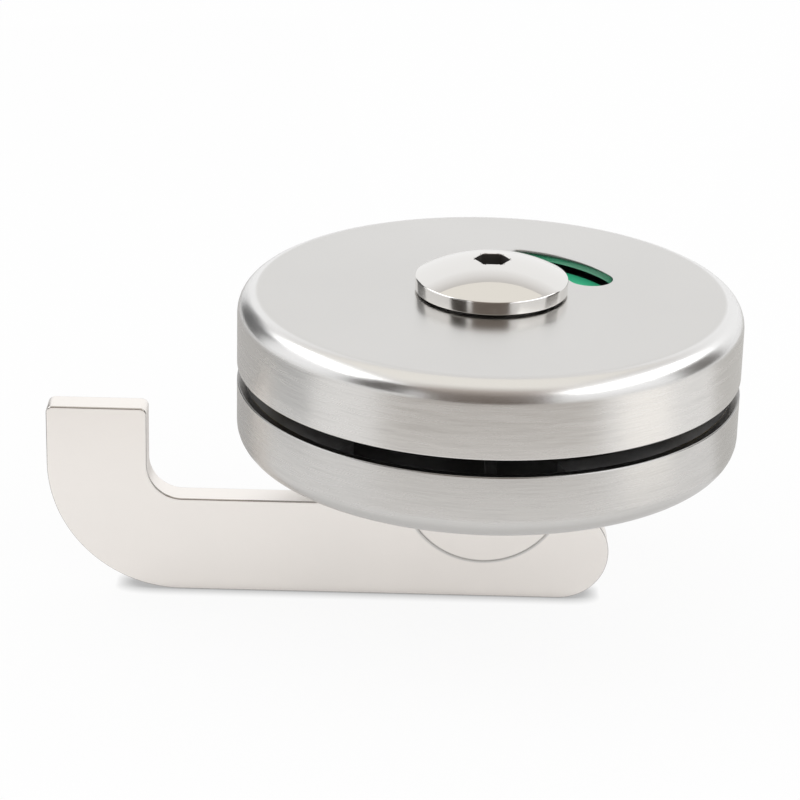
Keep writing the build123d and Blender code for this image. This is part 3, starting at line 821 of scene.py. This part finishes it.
blade_low, blade_high = low("lever_blade"), high("lever_blade")
blade_top = blade_low.z + BLADE_WIDTH
bend = (blade_low.x + OUTER_BEND, blade_low.z + OUTER_BEND)
leg_inside = blade_low.x + BLADE_WIDTH
tail = (blade_high.x - BLADE_WIDTH / 2, blade_low.z + BLADE_WIDTH / 2)
notch_radius = TONGUE_RADIUS + NOTCH_GAP
notch_turn = acos((blade_top - TONGUE_Z) / notch_radius)
tip_left = (blade_low.x + TIP_CORNER, blade_high.z - TIP_CORNER)
tip_right = (leg_inside - TIP_CORNER, blade_high.z - TIP_CORNER)

blade_outline = arc_points(tip_left, TIP_CORNER, pi, pi / 2, TIP_STEPS)
blade_outline += arc_points(tip_right, TIP_CORNER, pi / 2, 0, TIP_STEPS)
blade_outline += arc_points(bend, OUTER_BEND - BLADE_WIDTH, pi, 1.5 * pi, BEND_STEPS // 2)
notch_first = len(blade_outline)
blade_outline += arc_points((0, TONGUE_Z), notch_radius, pi / 2 + notch_turn, 2.5 * pi - notch_turn, BEND_STEPS)
notch_last = len(blade_outline) - 1
blade_outline += arc_points(tail, BLADE_WIDTH / 2, pi / 2, -pi / 2, BEND_STEPS)
blade_outline += arc_points(bend, OUTER_BEND, 1.5 * pi, pi, BEND_STEPS)


def upright_plate(name, outline, thickness, rim, shares, steps=4):
    """A plate that stands in the XZ plane, with its rims rounded by a share of one radius."""
    count = len(outline)
    back, front = thickness / 2, -thickness / 2
    points = [(x, front, z) for x, z in outline] + [(x, back, z) for x, z in outline]
    sides = [(i, (i + 1) % count, (i + 1) % count + count, i + count) for i in range(count)]
    piece = new_piece(name, points, (), sides + [list(range(count))[::-1], list(range(count, 2 * count))])
    weights = piece.data.attributes.new("bevel_weight_edge", "FLOAT", "EDGE")
    for edge in piece.data.edges:
        first, second = sorted(vertex % count for vertex in edge.vertices)
        along = first != second and (edge.vertices[0] < count) == (edge.vertices[1] < count)
        index = count - 1 if (first, second) == (0, count - 1) else first
        weights.data[edge.index].value = shares[index] if along else 0.0
    rounding = piece.modifiers.new("rounding", "BEVEL")
    rounding.width = rim
    rounding.segments = steps
    rounding.limit_method = "WEIGHT"
    rounding.use_clamp_overlap = False
    return clean(as_mesh(piece))


shares = [NOTCH_SHARE if notch_first <= i < notch_last else 1.0 for i in range(len(blade_outline))]
blade = upright_plate("lever_blade_bar", blade_outline, blade_high.y - blade_low.y, BLADE_EDGE, shares)
shade(dress(blade, NICKEL))
place(blade, "lever", "satin_nickel", "lever_blade")
print("blade outline has", len(blade_outline), "points")

# %% [markdown]
# ## Threaded bolts
#
# Two bolts pull the roses together. When the door is thick their threads show between the rims. A thread is a
# rule, a radius that rises and falls with height less one pitch for each turn, so a Geometry Nodes tree makes
# it: it moves the points of a plain tube by that rule and puts a copy at each bolt's place. Sculpting it or
# screwing a profile would need its own clean-up at both ends.

# %% The tree for threads
def thread_tree():
    """A tree that threads a tube and stands a copy of it on each point it is given."""
    tree, given = start_tree("threaded_tube", [
        ("Radius", "NodeSocketFloat"), ("Length", "NodeSocketFloat"), ("Pitch", "NodeSocketFloat"),
        ("Depth", "NodeSocketFloat"), ("Segments", "NodeSocketInt"), ("Rings", "NodeSocketInt"),
        ("Material", "NodeSocketMaterial"),
    ])
    tube = add_node(tree, "GeometryNodeMeshCylinder", fill_type="NGON")
    feed(tree, tube.inputs["Vertices"], given["Segments"])
    feed(tree, tube.inputs["Side Segments"], given["Rings"])
    feed(tree, tube.inputs["Radius"], given["Radius"])
    feed(tree, tube.inputs["Depth"], given["Length"])
    point = add_node(tree, "ShaderNodeSeparateXYZ")
    feed(tree, point.inputs[0], add_node(tree, "GeometryNodeInputPosition").outputs[0])
    x, y, z = point.outputs
    turns = calculate(tree, "DIVIDE", calculate(tree, "ARCTAN2", y, x), 2 * pi)
    climb = calculate(tree, "SUBTRACT", calculate(tree, "DIVIDE", z, given["Pitch"]), turns)
    wave = calculate(tree, "PINGPONG", climb, 0.5)
    half = calculate(tree, "MULTIPLY", given["Length"], 0.5)
    to_tip = calculate(tree, "SUBTRACT", half, z)
    run_out = calculate(tree, "MULTIPLY", calculate(tree, "SUBTRACT", given["Pitch"], to_tip), 0.6)
    sink = calculate(tree, "MAXIMUM", calculate(tree, "MULTIPLY", calculate(tree, "MULTIPLY", wave, 2.0),
                                                given["Depth"]), run_out)
    share = calculate(tree, "SUBTRACT", 1.0, calculate(tree, "DIVIDE", sink, given["Radius"]))
    moved = add_node(tree, "ShaderNodeCombineXYZ")
    feed(tree, moved.inputs[0], calculate(tree, "MULTIPLY", x, share))
    feed(tree, moved.inputs[1], calculate(tree, "MULTIPLY", y, share))
    feed(tree, moved.inputs[2], z)
    carve = add_node(tree, "GeometryNodeSetPosition")
    feed(tree, carve.inputs["Geometry"], tube.outputs["Mesh"])
    feed(tree, carve.inputs["Position"], moved.outputs[0])
    stand = add_node(tree, "GeometryNodeInstanceOnPoints")
    feed(tree, stand.inputs["Points"], given["Geometry"])
    feed(tree, stand.inputs["Instance"], carve.outputs[0])
    end_tree(tree, stand.outputs[0], given["Material"])
    return tree


# %% The bolts
BOLT_RADIUS = 1.95 * MM
THREAD_PITCH = 0.7 * MM
THREAD_DEPTH = 0.38 * MM
HEAD_HEIGHT = 2.2 * MM
HEAD_KEY = 2.5 * MM
HEAD_KEY_DEPTH = 1.2 * MM
HEAD_CORNER = 1.1 * MM
RINGS_PER_PITCH = 10

bolt_low, bolt_high = low("through_bolts"), high("through_bolts")
head_radius = bolt_high.y
bolt_x = bolt_high.x - head_radius
seat_z = bolt_low.z + HEAD_HEIGHT
thread_length = bolt_high.z - seat_z
threads = new_piece("bolt_threads", [(side * bolt_x, 0, seat_z + thread_length / 2) for side in (-1, 1)])
run_tree(threads, thread_tree(), {
    "Radius": BOLT_RADIUS, "Length": thread_length, "Pitch": THREAD_PITCH, "Depth": THREAD_DEPTH,
    "Segments": 48, "Rings": round(thread_length / THREAD_PITCH * RINGS_PER_PITCH),
    "Material": FINISHES["bolt_steel"],
})
shade(threads)
place(threads, "inner_rose", "bolt_steel")

head_outline = [(0, bolt_low.z, 0), (head_radius, bolt_low.z, HEAD_CORNER), (head_radius, seat_z, BUTTON_LIP),
                (0, seat_z, 0)]
for side, label in ((-1, "left"), (1, "right")):
    head = turned(f"bolt_head_{label}", head_outline, FINISHES["bolt_steel"], closed=False, segments=64)
    head_hexagon = arc_points((0, 0), HEAD_KEY / sqrt(3), 0, 2 * pi, 6)[:-1]
    cut(head, prism("head_tool", head_hexagon, bolt_low.z - HEAD_KEY_DEPTH, bolt_low.z + HEAD_KEY_DEPTH))
    head.data.transform(Matrix.Translation((side * bolt_x, 0, 0)))
    shade(head)
    place(head, "inner_rose", "bolt_steel", *(["through_bolts"] if side < 0 else []))

# %% [markdown]
# ## The pieces that keep their CAD shape
#
# Hub, bush, castings, tube, disc and the rest have their right shape in the frame already. Their CAD meshes are
# loose triangles, though, which would show as facets in metal. A merged copy of each, with smooth shading and
# its sharp edges marked, stands for it, and the edges of castings and of the hub are rounded a little.

# %% Smooth copies
DONE = {"inner_cover", "outer_cover", "release_button", "lever_blade", "through_bolts"}
ROUNDED = {"inner_base": 0.18 * MM, "outer_base": 0.18 * MM, "lever_hub": 0.10 * MM}


def smooth_copy(node):
    """A merged copy of a CAD piece with smooth shading."""
    piece = bpy.data.objects.new(f"{node}_finished", NODES[node].data.copy())
    piece.data.transform(NODES[node].matrix_world)
    bpy.context.scene.collection.objects.link(piece)
    piece.data.name = piece.name
    piece.data.attributes.active_color_index = -1
    return clean(piece, shell=False)


for node in sorted(set(NODES) - DONE):
    piece = smooth_copy(node)
    if node in ROUNDED:
        soften(piece, ROUNDED[node], 2, radians(50))
    shade(dress(piece, FINISHES[SLOT_OF[node]]))
    place(piece, BODY_OF[node], SLOT_OF[node], node)

# %% [markdown]
# ## The studio
#
# The photograph is a plain shop picture on white. Metal shows what is round it, so the room is its main light.
# What the camera and the reflections see of the room is white at a strength of 1. Its light on dull surfaces is
# weaker, which leaves room for two soft lamps. The table keeps a little of the lever's real shadow, and glows
# white with a painted contact shadow where the part comes near.

# %% White room
ROOM_LIGHT = 0.80
world = bpy.data.worlds.new("white_room")
bpy.context.scene.world = world
world.use_nodes = True
room = world.node_tree
room.nodes.clear()
light_path = add_node(room, "ShaderNodeLightPath")
seen = calculate(room, "MAXIMUM", light_path.outputs["Is Camera Ray"], light_path.outputs["Is Glossy Ray"])
seen = calculate(room, "MAXIMUM", seen, light_path.outputs["Is Transmission Ray"])
glow = add_node(room, "ShaderNodeBackground")
feed(room, glow.inputs["Strength"], mix(room, seen, ROOM_LIGHT, 1.0))
glow.inputs["Color"].default_value = (1.0, 1.0, 1.0, 1.0)
feed(room, add_node(room, "ShaderNodeOutputWorld").inputs["Surface"], glow.outputs[0])
print("room light on dull surfaces", ROOM_LIGHT)

# %% White table
TABLE_REACH = 1.5
TABLE_DROP = 0.03 * MM
TABLE_WHITE = 0.95
SHADOW_KEPT = 0.10
REFLECTED_SHARE = 0.45
SHADE_REACH = 2.2 * MM
CONTACT_SHADE = 0.45
table_z = TABLE - TABLE_DROP
table = new_piece("table", [(-TABLE_REACH, -TABLE_REACH, table_z), (TABLE_REACH, -TABLE_REACH, table_z),
                            (TABLE_REACH, TABLE_REACH, table_z), (-TABLE_REACH, TABLE_REACH, table_z)],
                  (), [(0, 1, 2, 3)])
paper, paper_tree, paper_shader = start_finish("white_table", (TABLE_WHITE,) * 3, 0.0, 0.6)
paper_path = add_node(paper_tree, "ShaderNodeLightPath")
seen_straight = calculate(paper_tree, "MULTIPLY", paper_path.outputs["Is Camera Ray"], 1 - SHADOW_KEPT)
seen_in_metal = calculate(paper_tree, "MULTIPLY", paper_path.outputs["Is Glossy Ray"], REFLECTED_SHARE)
# painted contact shadow: the table's glow darkens by ambient occlusion near the part
near = add_node(paper_tree, "ShaderNodeAmbientOcclusion", samples=16)
near.inputs["Distance"].default_value = SHADE_REACH
paper_glow = add_node(paper_tree, "ShaderNodeEmission")
feed(paper_tree, paper_glow.inputs["Color"],
     ramp(paper_tree, near.outputs["AO"], (0.35, (CONTACT_SHADE,) * 3), (1.0, (1.0, 1.0, 1.0))))
paper_mix = add_node(paper_tree, "ShaderNodeMixShader")
feed(paper_tree, paper_mix.inputs["Fac"], calculate(paper_tree, "MAXIMUM", seen_straight, seen_in_metal))
paper_tree.links.new(paper_shader.outputs[0], paper_mix.inputs[1])
paper_tree.links.new(paper_glow.outputs[0], paper_mix.inputs[2])
paper_tree.links.new(paper_mix.outputs[0], paper_tree.nodes["Material Output"].inputs["Surface"])
dress(table, paper)
print("table at", round(table_z / MM, 2), "mm")

# %% Soft lamps
def soft_lamp(name, turn, rise, distance, size, power):
    """A wide lamp that faces the part, at a turn from the front (-Y) and a rise above the table."""
    data = bpy.data.lights.new(name, "AREA")
    data.shape = "RECTANGLE"
    data.size, data.size_y = size
    data.energy = power
    level = distance * cos(rise)
    location = (level * sin(turn), -level * cos(turn), distance * sin(rise))
    lamp = bpy.data.objects.new(name, data)
    bpy.context.scene.collection.objects.link(lamp)
    lamp.location = location
    lamp.rotation_euler = (-Vector(location)).to_track_quat("-Z", "Y").to_euler()
    return lamp


soft_lamp("lamp_left", radians(-95), radians(42), 0.70, (0.66, 0.24), 0.80)
soft_lamp("lamp_right", radians(80), radians(40), 0.70, (0.95, 0.26), 1.2)

# %% [markdown]
# ## Dark cards
#
# In an all-white room polished metal turns into paper. Photographers stand dark cards beside shiny things, and
# the camera and whoever works it are dark too. The photograph shows them: dark ends on the covers' corners and on
# the button's wall, a brownish band across the front, and a soft grey block on the wall. The cards below are seen
# in reflections only, so they darken neither the table nor the light. Two of them are bent over the part from
# the front to the back: the room behind the camera, dark below and pale above, and a wider haze round it, which
# fades to white with its distance from the room's card. The flat ones on the table set how grey or how bright
# the walls of the covers look, because a wall seen from above reflects the table.

# %% Cards seen only in reflections
def reflected_card(name, points, faces, colour):
    """A card that glows in one colour and that only reflections see, a painted reflection."""
    card = new_piece(name, points, (), faces)
    material, tree, _ = start_finish(name, colour, 0.0, 1.0)
    glow = add_node(tree, "ShaderNodeEmission")
    glow.inputs["Color"].default_value = (*colour, 1.0)
    tree.links.new(glow.outputs[0], tree.nodes["Material Output"].inputs["Surface"])
    dress(card, material)
    card.visible_camera = False
    card.visible_diffuse = False
    card.visible_shadow = False
    card.visible_transmission = False
    return card


def standing_card(name, turn, distance, half_width, bottom, top, colour):
    """An upright card at a compass turn from the back (+Y), facing the part."""
    across = Vector((cos(turn), sin(turn), 0))
    centre = Vector((-sin(turn), cos(turn), 0)) * distance
    points = [centre + across * side * half_width + Vector((0, 0, height))
              for side, height in ((-1, bottom), (1, bottom), (1, top), (-1, top))]
    return reflected_card(name, points, [(0, 1, 2, 3)], colour)


def table_card(name, turn, half_swing, inside, outside, colour):
    """A flat sheet just over the table, a part of a ring, at a turn from the front (-Y)."""
    steps = 24
    points = []
    for step in range(steps + 1):
        angle = turn - half_swing + 2 * half_swing * step / steps
        points += [(reach * sin(angle), -reach * cos(angle), TABLE + CARD_LIFT) for reach in (inside, outside)]
    faces = [(2 * i, 2 * i + 1, 2 * i + 3, 2 * i + 2) for i in range(steps)]
    return reflected_card(name, points, faces, colour)


def overhead_card(name, distance, start, end, left, right):
    """A card bent over the part. Gives its tree, and the X and the rise above the front (-Y) of a place on it."""
    steps = 32
    points = []
    for step in range(steps + 1):
        rise = start + (end - start) * step / steps
        points += [(x, -distance * cos(rise), distance * sin(rise)) for x in (left, right)]
    faces = [(2 * i, 2 * i + 1, 2 * i + 3, 2 * i + 2) for i in range(steps)]
    card = reflected_card(name, points, faces, (1.0, 1.0, 1.0))
    tree = card.data.materials[0].node_tree
    spot = add_node(tree, "ShaderNodeSeparateXYZ")
    feed(tree, spot.inputs[0], surface_place(tree))
    rise = calculate(tree, "ARCTAN2", spot.outputs[2], calculate(tree, "MULTIPLY", spot.outputs[1], -1.0))
    return tree, spot.outputs[0], rise


CARD_LIFT = 0.2 * MM
ROOM_AWAY, ROOM_LEFT, ROOM_RIGHT = 0.60, -0.32, 0.28
ROOM_START, ROOM_END = radians(-3), radians(123)
ROOM_TONES = [(0, (0.17, 0.14, 0.12)), (28, (0.20, 0.17, 0.15)), (50, (0.42, 0.37, 0.33)),
              (72, (0.90, 0.87, 0.82)), (80, (0.93, 0.90, 0.84))]
HAZE_AWAY, HAZE_LEFT, HAZE_RIGHT = 0.66, -0.80, 0.76
HAZE_START, HAZE_END = radians(62), radians(150)
HAZE_REACH = 0.40
HAZE_PACE = 2
# painted reflections: each card glows in a fixed colour and only reflections see it
standing_card("card_side_left", radians(47), 0.50, 0.14, -0.03, 0.26, (0.10, 0.10, 0.10))
standing_card("card_side_right", radians(-77), 0.50, 0.13, -0.03, 0.25, (0.14, 0.13, 0.12))
standing_card("card_person", radians(130), 0.55, 0.13, 0.05, 0.50, (0.06, 0.053, 0.047))

room_tree, _, room_rise = overhead_card("card_room", ROOM_AWAY, ROOM_START, ROOM_END, ROOM_LEFT, ROOM_RIGHT)
room_stops = [(radians(angle) / pi, tone) for angle, tone in ROOM_TONES]
feed(room_tree, room_tree.nodes["Emission"].inputs["Color"],
     ramp(room_tree, calculate(room_tree, "DIVIDE", room_rise, pi), *room_stops))

haze_tree, haze_x, haze_rise = overhead_card("card_haze", HAZE_AWAY, HAZE_START, HAZE_END, HAZE_LEFT, HAZE_RIGHT)
middle, half = (ROOM_LEFT + ROOM_RIGHT) / 2, (ROOM_RIGHT - ROOM_LEFT) / 2
from_middle = calculate(haze_tree, "ABSOLUTE", calculate(haze_tree, "SUBTRACT", haze_x, middle))
aside = calculate(haze_tree, "SUBTRACT", from_middle, half)
past_end = calculate(haze_tree, "SUBTRACT", haze_rise, ROOM_END)
beyond = calculate(haze_tree, "MULTIPLY", past_end, HAZE_AWAY * HAZE_PACE)
away = calculate(haze_tree, "DIVIDE", calculate(haze_tree, "MAXIMUM", aside, beyond), HAZE_REACH)
feed(haze_tree, haze_tree.nodes["Emission"].inputs["Color"],
     ramp(haze_tree, away, (0.0, (0.66, 0.64, 0.62)), (0.5, (0.86, 0.85, 0.84)), (1.0, (1.0, 1.0, 1.0))))

table_card("card_front", 0.0, radians(44), 0.107, 0.600, (0.61, 0.585, 0.56))
table_card("card_front_near", 0.0, radians(44), 0.074, 0.107, (0.95, 0.94, 0.93))
table_card("card_left", radians(-88), radians(12), 0.100, 0.300, (0.58, 0.585, 0.59))
table_card("card_left_back", radians(-137), radians(37), 0.050, 0.300, (0.58, 0.57, 0.56))
table_card("card_right_back", radians(135), radians(30), 0.050, 0.250, (0.66, 0.65, 0.63))
# painted highlight: this card glows brighter than white, and the covers' walls reflect it
table_card("card_bright", radians(64), radians(12), 0.085, 0.400, (1.25, 1.23, 1.20))
